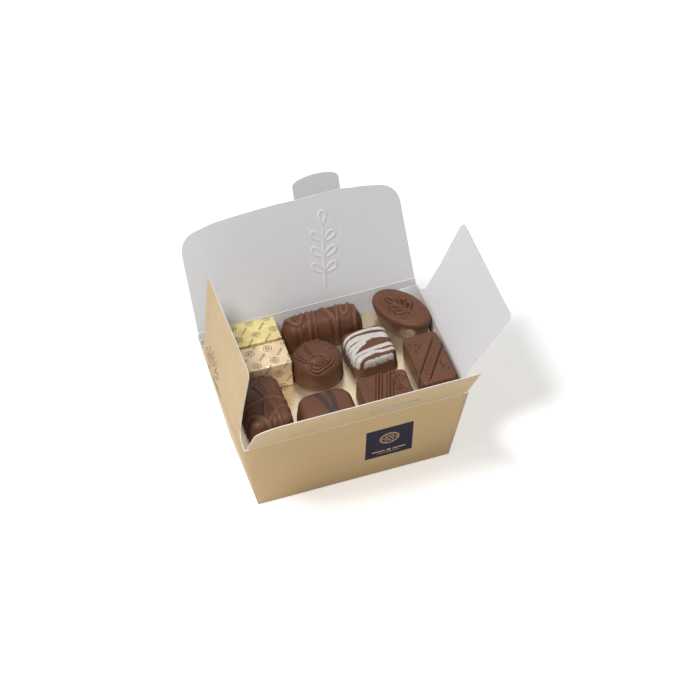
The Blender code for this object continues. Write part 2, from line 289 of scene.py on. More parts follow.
def chocolate(name, stripes=None):
    """Milk chocolate with a soft, uneven gloss, a painted highlight on its ridges and painted shade in
    its grooves; stripes are another colour.
    """
    mat, shader, place = start_material(name)
    look = settings("chocolate")
    patches = spread(mat, cloud(mat, place, 110.0, 3.0), 0.3, 0.7)
    base = blend_of(mat, patches, shade(look.milk, 0.88), shade(look.milk, 1.08))
    # Ridges and rims take the paler ridge colour: a painted highlight.
    raised = node(mat, "Attribute", attribute_name="raised").outputs["Fac"]
    base = blend_of(mat, raised, base, shade(look.wear_and_highlight, 1.0))
    # Grooves and the ditches beside cords are darkened towards a third of the milk tone: painted
    # shade.
    sunk = node(mat, "Attribute", attribute_name="sunk").outputs["Fac"]
    base = blend_of(mat, sum_of(mat, "MULTIPLY", sunk, 0.6), base, shade(look.milk, 0.35))
    rough = spread(mat, cloud(mat, place, 160.0, 2.0), 0.3, 0.7, 0.36, 0.5)
    if stripes is not None:
        painted = node(mat, "Attribute", attribute_name="painted").outputs["Fac"]
        edge = sum_of(mat, "ADD", painted, spread(mat, cloud(mat, place, 480.0, 3.0), 0, 1, -0.5, 0.5))
        share = spread(mat, edge, 0.28, 0.66)
        thin = spread(mat, cloud(mat, place, 420.0, 2.0), 0.3, 0.7, 0.86, 1.0)
        base = blend_of(mat, sum_of(mat, "MULTIPLY", share, thin), base, shade(stripes, 1.0))
    grain = bump(mat, cloud(mat, place, 1100.0, 2.0), 0.1, 0.00006)
    waves = bump(mat, cloud(mat, place, 190.0, 2.0), 0.3, 0.00025, grain)
    connect(mat, shader, {"Base Color": base, "Roughness": rough, "Normal": waves,
                          "Specular IOR Level": 0.3, "Subsurface Weight": 0.04,
                          "Subsurface Scale": 0.0012})
    return mat


def foil(name, tone):
    """Thin coloured foil over card, printed with rings and broken dashes in turn."""
    mat, shader, place = start_material(name)
    look = settings("foils")
    unfolded = node(mat, "Attribute", attribute_name="unfolded").outputs["Vector"]
    turned = node(mat, "Mapping", {"Vector": unfolded, "Rotation": (0, 0, -52 * DEG),
                                   "Scale": (1 / look.pitch, 1 / look.pitch, 1)}).outputs[0]
    across = node(mat, "SeparateXYZ", {0: turned}).outputs
    cells = [sum_of(mat, "FLOOR", across[i]) for i in (0, 1)]
    parity = sum_of(mat, "FLOORED_MODULO", sum_of(mat, "ADD", *cells), 2.0)
    local = [sum_of(mat, "SUBTRACT", sum_of(mat, "FRACT", across[i]), 0.5) for i in (0, 1)]
    away = sum_of(mat, "SQRT", sum_of(mat, "ADD", sum_of(mat, "POWER", local[0], 2.0),
                                      sum_of(mat, "POWER", local[1], 2.0)))
    ring = sum_of(mat, "COMPARE", away, 0.31, 0.03)
    inner = sum_of(mat, "COMPARE", away, 0.13, 0.05)
    rings = sum_of(mat, "MAXIMUM", ring, inner)
    bars = sum_of(mat, "LESS_THAN", sum_of(mat, "FRACT", sum_of(mat, "MULTIPLY", local[0], 9.0)),
                  0.62)
    tall = sum_of(mat, "LESS_THAN", sum_of(mat, "ABSOLUTE", local[1]), 0.085)
    long = sum_of(mat, "LESS_THAN", sum_of(mat, "ABSOLUTE", local[0]), 0.44)
    dashes = sum_of(mat, "MULTIPLY", sum_of(mat, "MULTIPLY", bars, tall), long)
    motif = node(mat, "Mix", {0: parity, 2: rings, 3: dashes}).outputs[0]
    wear_and_highlight = spread(mat, cloud(mat, place, 900.0, 2.0), 0.32, 0.6, 0.5, 1.0)
    patches = spread(mat, cloud(mat, place, 150.0, 2.0), 0.35, 0.65)
    base = blend_of(mat, patches, shade(tone, 0.9), shade(tone, 1.08))
    base = blend_of(mat, sum_of(mat, "MULTIPLY", motif, wear_and_highlight), base, shade(look.ink, 1.0))
    rough = spread(mat, cloud(mat, place, 240.0, 2.0), 0.3, 0.7, 0.26, 0.42)
    fine = bump(mat, cloud(mat, place, 800.0, 3.0), 0.25, 0.00012)
    connect(mat, shader, {"Base Color": base, "Roughness": rough, "Metallic": 0.25,
                          "Normal": fine})
    return mat


def gold_pad():
    """Bright laminated gold card."""
    mat, shader, place = start_material("gold_pad")
    tone = settings("foils").pad
    patches = spread(mat, cloud(mat, place, 60.0, 2.0), 0.3, 0.7)
    base = blend_of(mat, patches, shade(tone, 0.92), shade(tone, 1.05))
    rough = spread(mat, cloud(mat, place, 80.0, 2.0), 0.3, 0.7, 0.22, 0.34)
    waves = bump(mat, cloud(mat, place, 45.0, 2.0), 0.3, 0.0006)
    connect(mat, shader, {"Base Color": base, "Roughness": rough, "Metallic": 0.85,
                          "Normal": waves})
    return mat


# ---- lines and relief ----
def smooth_line(points, pieces=8):
    """A smooth line through a few points."""
    p = np.array(points, float)
    p = np.vstack([2 * p[0] - p[1], p, 2 * p[-1] - p[-2]])
    t = np.linspace(0, 1, pieces, endpoint=False)[:, None]
    runs = []
    for a, b, c, d in zip(p, p[1:], p[2:], p[3:]):
        runs.append(0.5 * (2 * b + (c - a) * t + (2 * a - 5 * b + 4 * c - d) * t ** 2
                           + (3 * b - a - 3 * c + d) * t ** 3))
    return np.vstack(runs + [p[-2:-1]])


def scroll(centre, radius, start, turns, shrink=0.25, steps=7):
    """A few points of a spiral that winds inwards; angles in degrees."""
    points = []
    for i in range(steps):
        t = i / (steps - 1)
        a = (start + 360 * turns * t) * DEG
        r = radius * (1 - (1 - shrink) * t)
        points.append((centre[0] + r * math.cos(a), centre[1] + r * math.sin(a)))
    return points


def petal(centre, angle, near, far, spread_angle, steps=9):
    """The outline of a petal that points away from a centre; angles in degrees."""
    points = []
    for i in range(steps):
        turn = math.pi * i / (steps - 1)
        a = (angle + spread_angle * math.cos(turn)) * DEG
        r = near + (far - near) * math.sin(turn)
        points.append((centre[0] + r * math.cos(a), centre[1] + r * math.sin(a)))
    return points


def sprig(foot, angle, length, pairs, leaf, half, height):
    """Strokes of a straight twig with pairs of leaves and one at its tip."""
    ahead = (math.cos(angle * DEG), math.sin(angle * DEG))

    def on_twig(share):
        return (foot[0] + ahead[0] * length * share, foot[1] + ahead[1] * length * share)

    strokes = [([foot, on_twig(0.5), on_twig(1.0)], half, height)]
    for k in range(pairs):
        at = on_twig((k + 1) / (pairs + 1))
        for lean in (-50, 50):
            strokes.append((petal(at, angle + lean, 0.8, leaf, 24), half, height))
    strokes.append((petal(on_twig(1.0), angle, 0.8, leaf, 24), half, height))
    return strokes


def nearest(flat, line):
    """Each point's distance to a line, and how far along the line it is, from 0 to 1."""
    starts, steps = line[:-1], np.diff(line, axis=0)
    lengths = np.maximum(np.hypot(*steps.T), 1e-6)
    run = np.concatenate([[0], np.cumsum(lengths)])
    best = np.full(len(flat), 1e9)
    along = np.zeros(len(flat))
    for i in range(len(starts)):
        off = flat - starts[i]
        t = np.clip(off @ steps[i] / lengths[i] ** 2, 0, 1)
        away = np.hypot(*(off - t[:, None] * steps[i]).T)
        closer = away < best
        best[closer] = away[closer]
        along[closer] = (run[i] + t[closer] * lengths[i]) / run[-1]
    return best, along


def cords(flat, strokes, ditch=0.35):
    """Height of tapering cords with a shallow ditch beside them; a stroke is
    (points, half width, height), and a negative height presses a groove."""
    raised = np.zeros(len(flat))
    sunk = np.zeros(len(flat))
    for points, half, height in strokes:
        away, along = nearest(flat, smooth_line(points))
        taper = np.clip(np.minimum(along, 1 - along) / 0.1, 0.45, 1)
        ridge = abs(height) * taper * np.exp(-(away / half) ** 2)
        beside = abs(height) * ditch * np.exp(-((away - 2 * half) / (0.8 * half)) ** 2)
        if height > 0:
            raised = np.maximum(raised, ridge)
            sunk = np.maximum(sunk, beside * taper)
        else:
            sunk = np.maximum(sunk, ridge)
    return raised - sunk * (1 - np.clip(raised / (raised.max() + 1e-6), 0, 1))


def bands(flat, strokes):
    """Cover of painted bands, 0.5 at their edge; a stroke is (points, start half, end half)."""
    cover = np.full(len(flat), -9.0)
    for points, start, end in strokes:
        away, along = nearest(flat, smooth_line(points))
        half = start + (end - start) * along
        cover = np.maximum(cover, 0.5 + (half - away))
    return np.clip(cover, 0, 1)


# ---- mesh helpers ----
def rounded(u, v, a, b, r):
    """The point of a rounded rectangle's outline that stands for a point of a square's."""
    x, y = u * a, v * b
    cx, cy = np.clip(x, -(a - r), a - r), np.clip(y, -(b - r), b - r)
    dx, dy = x - cx, y - cy
    away = np.hypot(dx, dy)
    in_corner = (np.abs(x) > a - r) & (np.abs(y) > b - r) & (away > 1e-9)
    pull = np.where(in_corner, r / np.maximum(away, 1e-9), 1.0)
    return cx + dx * pull, cy + dy * pull


def moulded(block_size, corner, edge, draft, drop=None, crown=0.0):
    """A moulded block: a fine grid rounded at its border and drawn down to a flat foot."""
    look = settings("chocolate")
    length, depth, height = block_size
    drop = drop or edge
    a, b = length / 2 - draft, depth / 2 - draft
    turn_rows = max(3, round(edge * math.pi / 2 / look.spacing))
    nx = 2 * (turn_rows + round((a - edge) / look.spacing))
    ny = 2 * (turn_rows + round((b - edge) / look.spacing))
    bm = bmesh.new()
    bmesh.ops.create_grid(bm, x_segments=nx, y_segments=ny, size=1)
    co = np.array([v.co for v in bm.verts])
    i = np.rint((co[:, 0] / co[:, 0].max() + 1) / 2 * nx)
    j = np.rint((co[:, 1] / co[:, 1].max() + 1) / 2 * ny)
    ring = np.minimum(np.minimum(i, nx - i), np.minimum(j, ny - j))
    left_x, left_y = nx / 2 - ring, ny / 2 - ring
    u = np.where(left_x > 0, (i - nx / 2) / np.maximum(left_x, 1), 0)
    v = np.where(left_y > 0, (j - ny / 2) / np.maximum(left_y, 1), 0)
    turn = np.minimum(ring / turn_rows, 1) * math.pi / 2
    inset = edge * (1 - np.cos(turn))
    core_x = np.minimum(left_x / (nx / 2 - turn_rows), 1)
    core_y = np.minimum(left_y / (ny / 2 - turn_rows), 1)
    soften = max(2.0, (corner - edge) / look.spacing * 2)
    round_off = np.clip(1 - (ring - turn_rows) / soften, 0, 1)
    radius = np.where(ring < turn_rows, np.maximum(corner - inset, 0),
                      max(corner - edge, 0) * round_off)
    half_x = np.where(ring < turn_rows, a - inset, (a - edge) * core_x)
    half_y = np.where(ring < turn_rows, b - inset, (b - edge) * core_y)
    radius = np.minimum(radius, np.minimum(half_x, half_y))
    x, y = rounded(u, v, half_x, half_y, radius)
    z = height - drop * (1 - np.sin(turn))
    z += crown * np.cos(math.pi / 2 * x / a) * np.cos(math.pi / 2 * y / b) - crown
    for vert, place in zip(bm.verts, np.column_stack([x, y, z])):
        vert.co = place
    draw_down(bm, (a, b, corner), height - drop - crown, draft)
    return bm


def draw_down(bm, outline, top, draft):
    """Extrudes the open border down to a rounded foot and closes it."""
    a, b, r = outline
    foot = settings("chocolate").foot
    rows = 9
    levels = [(top + (foot - top) * k / rows, draft * k / rows) for k in range(1, rows + 1)]
    levels += [(foot * (1 - math.sin(t * DEG)), draft - foot * (1 - math.cos(t * DEG)))
               for t in (30, 60, 90)]
    border = [e for e in bm.edges if e.is_boundary]
    for z, new_out in levels:
        made = bmesh.ops.extrude_edge_only(bm, edges=border)["geom"]
        border = [g for g in made if isinstance(g, bmesh.types.BMEdge) and g.is_boundary]
        for vert in [g for g in made if isinstance(g, bmesh.types.BMVert)]:
            inner = Vector((max(-a + r, min(a - r, vert.co.x)), max(-b + r, min(b - r, vert.co.y))))
            away = Vector(vert.co.xy) - inner
            if away.length > 1e-6:
                vert.co.xy = inner + away.normalized() * (r + new_out)
            vert.co.z = z
    bmesh.ops.holes_fill(bm, edges=border, sides=0)


def turned(profile, steps):
    """A round solid spun from a half profile of (radius, height) points."""
    bm = bmesh.new()
    verts = [bm.verts.new((r, 0, z)) for r, z in profile]
    edges = [bm.edges.new(pair) for pair in zip(verts, verts[1:])]
    bmesh.ops.spin(bm, geom=verts + edges, cent=(0, 0, 0), axis=(0, 0, 1),
                   angle=math.tau, steps=steps, use_merge=True)
    bmesh.ops.remove_doubles(bm, verts=bm.verts, dist=0.001)
    return bm


def shaped(name, bm, relief=None, paint=None, uneven=None, seed=0.0):
    """A mesh in millimetres, pushed out along its normals by its relief and by soft waves.
    The relief and the painted bands stay on it as attributes."""
    bmesh.ops.recalc_face_normals(bm, faces=bm.faces)
    mesh = bpy.data.meshes.new(name)
    bm.to_mesh(mesh)
    bm.free()
    count = len(mesh.vertices)
    co = np.empty(count * 3, np.float32)
    normals = np.empty(count * 3, np.float32)
    mesh.vertices.foreach_get("co", co)
    mesh.vertex_normals.foreach_get("vector", normals)
    co, normals = co.reshape(-1, 3).astype(float), normals.reshape(-1, 3).astype(float)
    above = np.clip((co[:, 2] - 0.8) / 2.0, 0, 1)
    waves = np.array([noise.noise(Vector(p) * 0.16 + Vector((seed, seed, 0))) for p in co])
    waves += 0.4 * np.array([noise.noise(Vector(p) * 0.42 + Vector((0, seed, 5))) for p in co])
    height = waves * (settings("chocolate").uneven if uneven is None else uneven)
    drawn = np.zeros(count)
    if relief is not None:
        drawn = relief(co, normals)
        height = height + drawn
    moved = co + normals * (height * above)[:, None]
    mesh.vertices.foreach_set("co", moved.astype(np.float32).ravel())
    # The raised and sunk marks let the chocolate carry a painted highlight on ridges and painted shade
    # in grooves.
    mark(mesh, "raised", np.clip(drawn * above / 0.6, 0, 1))
    mark(mesh, "sunk", np.clip(-drawn * above / 0.4, 0, 1))
    if paint is not None:
        mark(mesh, "painted", paint(co))
    mesh.update()
    return mesh


def mark(mesh, name, values):
    """A value for each point, for the material to read."""
    layer = mesh.attributes.new(name, "FLOAT", "POINT")
    layer.data.foreach_set("value", np.asarray(values, np.float32))


def seat(name, mesh, node_name, turn, slot, finishes):
    """Turns a mesh, seats it on its node's box and lets it stand for the node."""
    low, high = (Vector(c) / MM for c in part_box(node_name))
    tilt, yaw = turn
    spin = Matrix.Rotation(yaw * DEG, 4, "Z") @ Matrix.Rotation(tilt * DEG, 4, "X")
    mesh.transform(spin)
    co = np.array([v.co for v in mesh.vertices])
    middle = (co.max(0) + co.min(0)) / 2
    shift = Vector(((low.x + high.x) / 2 - middle[0], (low.y + high.y) / 2 - middle[1],
                    low.z - co[:, 2].min()))
    mesh.transform(Matrix.Scale(MM, 4) @ Matrix.Translation(shift))
    return finished(name, mesh, finishes, slot, "box", node_name)


def finished(name, mesh, finishes, slot, body, *nodes):
    """A piece of the object: its finishes and the body and nodes it goes with; the slot is not used.
    """
    for finish in finishes:
        mesh.materials.append(finish)
    mesh.shade_smooth()
    mesh.set_sharp_from_angle(angle=32 * DEG)
    obj = bpy.data.objects.new(name, mesh)
    bpy.context.collection.objects.link(obj)
    if nodes:
        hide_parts(*nodes)
    if body:
        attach(obj, body)
    return obj


def to_mesh(name, bm):
    """A bmesh in millimetres as a mesh in metres."""
    bmesh.ops.scale(bm, vec=(MM, MM, MM), verts=bm.verts)
    mesh = bpy.data.meshes.new(name)
    bm.to_mesh(mesh)
    bm.free()
    return mesh


# ---- card ----
OUTSIDE, INSIDE, CUT = 0, 1, 2
LEFT, RIGHT, FRONT, REAR = (Vector(way) for way in ((-1, 0, 0), (1, 0, 0), (0, -1, 0), (0, 1, 0)))


def card_finishes():
    made = bpy.data.materials
    names = {"satin_gold": gold_card, "pale_board": pale_card, "cut_board_and_crease_highlight": cut_card_and_crease_highlight}
    return [made.get(name) or build() for name, build in names.items()]


def card_copy(node_name):
    """A carton piece's own mesh in millimetres, its triangles joined into flat faces."""
    bm = bmesh.new()
    bm.from_mesh(frame["nodes"][node_name].data)
    bmesh.ops.scale(bm, vec=(1 / MM,) * 3, verts=bm.verts)
    bmesh.ops.remove_doubles(bm, verts=bm.verts, dist=0.005)
    bmesh.ops.dissolve_limit(bm, angle_limit=DEG, verts=bm.verts, edges=bm.edges, delimit=set())
    return bm


def broad_normal(node_name, away):
    """The mean normal of the large faces on the side of a card that looks away from the box."""
    bm = card_copy(node_name)
    total, middle = Vector(), Vector()
    if node_name != "tray":
        middle = sum((v.co for v in bm.verts), Vector()) / len(bm.verts)
    for face in bm.faces:
        outward = (face.calc_center_median() - middle).dot(away) > 0
        if face.normal.dot(away) > 0.5 and outward and face.calc_area() > 50:
            total += face.normal * face.calc_area()
    bm.free()
    return total.normalized()


def card_axes(node_name, away):
    """A card's outward direction, and the direction up it from its fold."""
    outside = broad_normal(node_name, away)
    up = Vector((-away.y, away.x, 0)).cross(outside)
    return outside, up if up.z > 0 else -up


def cut_grid(bm, faces, origin, directions, spans, spacing):
    """Cuts flat faces into a grid: directions and spans say where, spacing how fine."""
    keep = set(faces)
    for direction, (start, end) in zip(directions, spans):
        steps = max(1, round((end - start) / spacing))
        for k in range(steps + 1):
            at = origin + direction * (start + (end - start) * k / steps)
            edges = {e for f in keep for e in f.edges}
            verts = {v for e in edges for v in e.verts}
            made = bmesh.ops.bisect_plane(bm, geom=list(keep) + list(edges) + list(verts),
                                          dist=1e-4, plane_co=at, plane_no=direction)
            keep = {g for g in made["geom"] if isinstance(g, bmesh.types.BMFace)}
    return keep


def sided(bm, outside):
    """Gives each face of a flat card its finish: outside, inside or cut edge."""
    for face in bm.faces:
        facing = face.normal.dot(outside)
        face.material_index = OUTSIDE if facing > 0.7 else INSIDE if facing < -0.7 else CUT


class CARTON_OT_flaps(bpy.types.Operator):
    """Side and front flaps"""
    bl_idname = "carton.flaps"
    bl_label = "Flaps"

    def execute(self, context):
        ways = {"left_flap": LEFT, "right_flap": RIGHT, "front_flap": FRONT}
        for name, away in ways.items():
            bm = card_copy(name)
            sided(bm, broad_normal(name, away))
            finished("card_" + name, to_mesh(name, bm), card_finishes(), "carton", name, name)
        return {"FINISHED"}


class CARTON_OT_lid(bpy.types.Operator):
    """Lid with its embossed sprig, and the tongue"""
    bl_idname = "carton.lid"
    bl_label = "Lid and tongue"

    def execute(self, context):
        look = settings("carton")
        outside, up = card_axes("lid", REAR)
        fold = Vector(JOINTS["lid_fold"]["pos_m"]) / MM
        strokes = sprig((12.0, 7.0), 82, 36.0, 3, 8.6, 0.55, 1.0)
        bm = card_copy("lid")
        sides = [f for f in bm.faces if abs(f.normal.dot(outside)) > 0.9]
        spans = ((3.0, 27.0), (3.5, 54.0))
        cut_grid(bm, sides, fold, (Vector((1, 0, 0)), up), spans, 0.55)
        verts = list(bm.verts)
        flat = np.array([(v.co.x - fold.x, (v.co - fold).dot(up)) for v in verts])
        for vert, height in zip(verts, cords(flat, strokes, 0.25)):
            vert.co -= outside * float(height) * look.emboss
        sided(bm, outside)
        finished("card_lid", to_mesh("lid", bm), card_finishes(), "carton", "lid", "lid")
        bm = card_copy("tongue")
        sided(bm, broad_normal("tongue", REAR))
        finished("card_tongue", to_mesh("tongue", bm), card_finishes(), "carton", "tongue",
                 "tongue")
        return {"FINISHED"}


def wall_bow(x, z):
    """How far the front wall bows forwards at a point of it, mm."""
    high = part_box("tray")[1] / MM
    reach = high.x
    along = max(0.0, 1 - (x / reach) ** 2)
    level = math.sin(math.pi * min(1.0, max(0.0, z / (JOINTS["front_fold"]["pos_m"][2] / MM))))
    return settings("carton").bulge * along * level


class CARTON_OT_tray(bpy.types.Operator):
    """Base and four walls; the front wall bows out a little"""
    bl_idname = "carton.tray"
    bl_label = "Tray"

    def execute(self, context):
        bm = card_copy("tray")
        low, high = (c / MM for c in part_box("tray"))
        before = low.y / 2  # only the front wall stands further forward than this
        front = [f for f in bm.faces
                 if abs(f.normal.y) > 0.8 and f.calc_center_median().y < before
                 and f.calc_area() > 500]
        spans = ((low.x, high.x), (0.0, high.z))
        cut_grid(bm, front, Vector(), (Vector((1, 0, 0)), Vector((0, 0, 1))), spans, 5.0)
        for vert in bm.verts:
            if vert.co.y < before:
                vert.co.y -= wall_bow(vert.co.x, vert.co.z)
        rim = high.z - 5
        for face in bm.faces:
            middle = face.calc_center_median()
            if face.normal.z > 0.8 and middle.z > rim:
                face.material_index = CUT
            elif abs(face.normal.z) > 0.8:
                face.material_index = OUTSIDE if face.normal.z < 0 else INSIDE
            else:
                outward = face.normal.dot(Vector((middle.x, middle.y, 0)))
                face.material_index = OUTSIDE if outward > 0 else INSIDE
        finished("card_tray", to_mesh("tray", bm), card_finishes(), "carton", "box", "tray")
        return {"FINISHED"}


class CARTON_OT_folds(bpy.types.Operator):
    """Scored folds between the tray, its flaps, the lid and the tongue"""
    bl_idname = "carton.folds"
    bl_label = "Folds"

    def execute(self, context):
        folds = (
            ("lid_fold", "tray", "lid", REAR, 0.3),
            ("tongue_fold", "lid", "tongue", REAR, 0.3),
            ("front_fold", "tray", "front_flap", FRONT, 1.6),
            ("left_fold", "tray", "left_flap", LEFT, 3.7),
            ("right_fold", "tray", "right_flap", RIGHT, 3.7),
        )
        for joint, lower, upper, away, ends in folds:
            self.fold(JOINTS[joint], lower, upper, away, ends)
        return {"FINISHED"}

    def fold(self, joint, lower, upper, away, ends):
        """A strip of board that follows the card below it, turns, and follows the one above;
        it stops short of both ends of the fold."""
        look = settings("carton")
        at = Vector(joint["pos_m"]) / MM
        axis = Vector((abs(joint["axis"][0]), abs(joint["axis"][1]), 0))
        before, after = broad_normal(lower, away), broad_normal(upper, away)
        up = axis.cross(before)
        up = up if up.z > 0 else -up
        bend = math.atan2(before.cross(after).dot(axis), before.dot(after))
        low, high = (c.dot(axis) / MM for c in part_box(upper))
        bm = bmesh.new()
        bmesh.ops.create_cube(bm, size=1)
        across = [e for e in bm.edges if abs(e.verts[0].co.z - e.verts[1].co.z) > 0.5]
        bmesh.ops.subdivide_edges(bm, edges=across, cuts=9)
        middle = (low + high) / 2 - at.dot(axis)
        for vert in bm.verts:
            u = middle + vert.co.x * (high - low - 2 * ends)
            s, t = vert.co.z * 2, vert.co.y * look.board
            if t < 0:
                t -= look.bead * math.exp(-(s / 0.55) ** 2)
            share = (s + 1) / 2
            turn = Matrix.Rotation(bend * share * share * (3 - 2 * share), 3, axis)
            vert.co = at + axis * u + turn @ (up * s * look.crease + before * t)
        bmesh.ops.recalc_face_normals(bm, faces=bm.faces)
        bm.normal_update()
        # Faces that do not look outward get the cut board's white: at the strip's ends it is the cut
        # core, and along the inside of the bend with its bead it is a painted highlight of the crease.
        for face in bm.faces:
            outward = face.normal.dot((before + after).normalized())
            face.material_index = OUTSIDE if outward > 0.5 else CUT
        obj = finished("fold_" + upper, to_mesh("fold_" + upper, bm), card_finishes(), "carton",
                       None)
        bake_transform(obj)


# ---- print on the card ----
class CARTON_OT_print(bpy.types.Operator):
    """Label on the front and line art on the left side"""
    bl_idname = "carton.print"
    bl_label = "Print"

    def execute(self, context):
        look = settings("carton")
        self.label(look)
        self.line_art(look)
        self.slit(look)
        return {"FINISHED"}

    def slit(self, look):
        """White lip of the slit in the front flap."""
        outside, up = card_axes("front_flap", FRONT)
        fold = Vector(JOINTS["front_fold"]["pos_m"]) / MM
        middle, half, level, sag = 18.0, 13.7, 23.3, 1.2
        edges = [([(middle + half * t, level - sag * t * t) for t in (-1, -0.5, 0, 0.5, 1)], 0.12)]
        self.lines("slit_edges", edges,
                   lambda x, v, lift: (fold + Vector((x, 0, 0)) + up * v
                                       + outside * (look.board / 2 + lift)),
                   card_finishes()[CUT], look.lip, "front_flap")

    def label(self, look):
        outside, up = card_axes("tray", FRONT)
        fold = Vector(JOINTS["front_fold"]["pos_m"]) / MM
        slope = fold.z / up.z
        foot = fold - up * slope

        def place(x, v, lift):
            on_wall = foot + Vector((x, 0, 0)) + up * v + outside * (look.board / 2 + lift)
            on_wall.y -= wall_bow(x, on_wall.z)
            return on_wall

        bm = bmesh.new()
        bmesh.ops.create_grid(bm, x_segments=12, y_segments=12, size=1)
        bmesh.ops.recalc_face_normals(bm, faces=bm.faces)
        made = bmesh.ops.extrude_face_region(bm, geom=bm.faces[:])["geom"]
        upper = {g for g in made if isinstance(g, bmesh.types.BMVert)}
        for vert in bm.verts:
            x = look.label_x + vert.co.x * look.label_width / 2
            v = look.label_low + (vert.co.y + 1) / 2 * look.label_height
            vert.co = place(x, v, look.print_lift if vert in upper else -look.print_lift)
        bmesh.ops.recalc_face_normals(bm, faces=bm.faces)
        finished("label", to_mesh("label", bm), [printed("label_ink", look.label)], "carton", "box")
        cx, cy = look.label_x, look.label_low + 0.62 * look.label_height
        lines = [([(cx + r * math.cos(a * 15 * DEG), cy + r * math.sin(a * 15 * DEG))
                   for a in range(25)], 0.16) for r in (5.4, 4.7)]
        for turn in range(0, 360, 60):
            petal = []
            for r, off in ((1.0, 0), (2.6, 24), (3.9, 0), (2.6, -24), (1.0, 0)):
                a = (turn + off) * DEG
                petal.append((cx + r * math.cos(a), cy + r * math.sin(a)))
            lines.append((petal, 0.13))
        rule = look.label_low + 0.2 * look.label_height
        for start, end, level, half in ((-9.5, -2.2, 0, 0.45), (2.2, 9.5, 0, 0.45),
                                        (-1.1, 1.1, 0, 0.7), (-6.0, 6.0, -2.4, 0.2)):
            lines.append(([(cx + start, rule + level), (cx + end, rule + level)], half))
        self.lines("label_emblem", lines, place, printed("emblem_ink", look.emblem, 0.3, 0.4),
                   2.2 * look.print_lift, "box")

    def lines(self, name, lines, place, finish, lift, body):
        """One piece of thin printed lines."""
        bm = bmesh.new()
        for points, half in lines:
            line = smooth_line(points, 6)
            steps = np.gradient(line, axis=0)
            steps /= np.maximum(np.hypot(*steps.T), 1e-6)[:, None]
            run = np.linspace(0, 1, len(line))
            closed = np.hypot(*(line[0] - line[-1])) < 1e-6
            width = half * (1 if closed or len(points) < 3
                            else np.clip(np.minimum(run, 1 - run) / 0.2, 0.3, 1))
            side = np.column_stack([-steps[:, 1], steps[:, 0]]) * np.reshape(width, (-1, 1))
            flat = bmesh.ops.create_grid(bm, x_segments=len(line) - 1, y_segments=1,
                                         size=1)["verts"]
            faces = list({f for v in flat for f in v.link_faces})
            made = bmesh.ops.extrude_face_region(bm, geom=faces)["geom"]
            raised = {g for g in made if isinstance(g, bmesh.types.BMVert)}
            for vert in set(flat) | raised:
                k = int(round((vert.co.x + 1) / 2 * (len(line) - 1)))
                x, v = line[k] + side[k] * (1 if vert.co.y > 0 else -1)
                vert.co = place(float(x), float(v), lift if vert in raised else 0.0)
        bmesh.ops.recalc_face_normals(bm, faces=bm.faces)
        return finished(name, to_mesh(name, bm), [finish], "carton", body)

    def line_art(self, look):
        """Nested petals round a point on the fold of the left flap."""
        fold = Vector(JOINTS["left_fold"]["pos_m"]) / MM
        finish = printed("line_ink", look.ink)

        def on_card(node_name):
            outside, up = card_axes(node_name, LEFT)
            return lambda y, v, lift: (fold + Vector((0, y, 0)) + up * v
                                       + outside * (look.board / 2 + lift))

        centre = (18.0, 0.0)
        flap_lines = [(petal(centre, angle, 3.2, far, 13), 0.22)
                      for angle in range(30, 180, 30) for far in (14.5, 10.5)]
        wall_lines = [(petal(centre, -angle, 3.2, far, 13), 0.22)
                      for angle in range(30, 180, 30) for far in (14.5, 10.5)]
        self.lines("line_art_flap", flap_lines, on_card("left_flap"), finish,
                   look.print_lift, "left_flap")
        self.lines("line_art_wall", wall_lines, on_card("tray"), finish, look.print_lift, "box")


# ---- contents ----
class PRALINE_OT_pad(bpy.types.Operator):
    """Gold card under the pralines"""
    bl_idname = "praline.pad"
    bl_label = "Pad"

    def execute(self, context):
        frame["nodes"]["pad"].material_slots[0].material = gold_pad()
        return {"FINISHED"}


